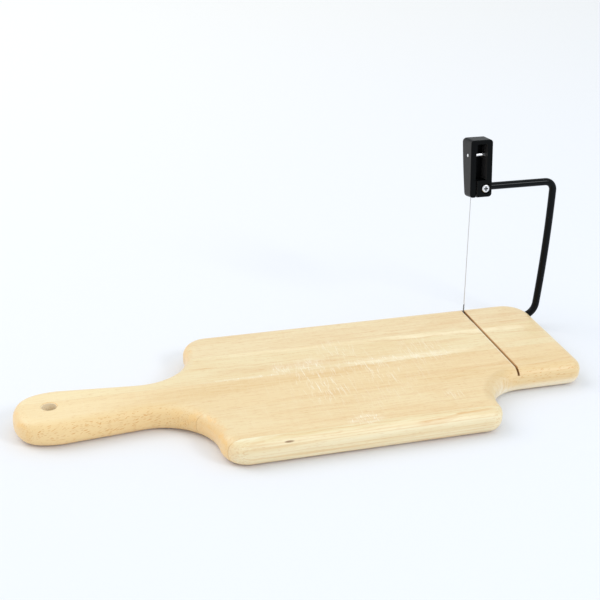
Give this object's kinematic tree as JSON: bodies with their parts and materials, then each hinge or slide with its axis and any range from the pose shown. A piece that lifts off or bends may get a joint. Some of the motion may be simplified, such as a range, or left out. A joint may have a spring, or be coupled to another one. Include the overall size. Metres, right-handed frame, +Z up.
{
  "type": "cheese wire cutter",
  "caption": "Wooden cheese board with a handle and a hinged wire bow that swings down into a slot across the board.",
  "frame": {"origin": "bottom centre of the box around the whole object with the bow raised, on the surface it stands on", "axes": "+X along the board from the handle to the bow's end, +Y to the back edge where the bow is hinged, +Z up"},
  "size_m": [0.374, 0.1468, 0.1403],
  "materials": {
    "wood": "oiled, fine pores",
    "black_rod": "satin black",
    "wire_steel": "drawn wire",
    "black_plastic": "moulded, matte",
    "bright_steel": "bright plated"
  },
  "bodies": {
    "board": {"board_stave_1": "wood", "board_stave_2": "wood", "board_stave_3": "wood", "board_stave_4": "wood", "board_stave_5": "wood"},
    "bow": {"bow_rod": "black_rod", "cutting_wire": "wire_steel", "grip_body": "black_plastic", "wire_pin": "bright_steel", "clamp_screw": "bright_steel"}
  },
  "joints": [
    {"name": "bow_swing", "type": "hinge", "parent": "board", "child": "bow", "pos_m": [0.12475, 0.05673, 0.0085], "axis": [1, 0, 0], "range_deg": [0, 90]}
  ]
}
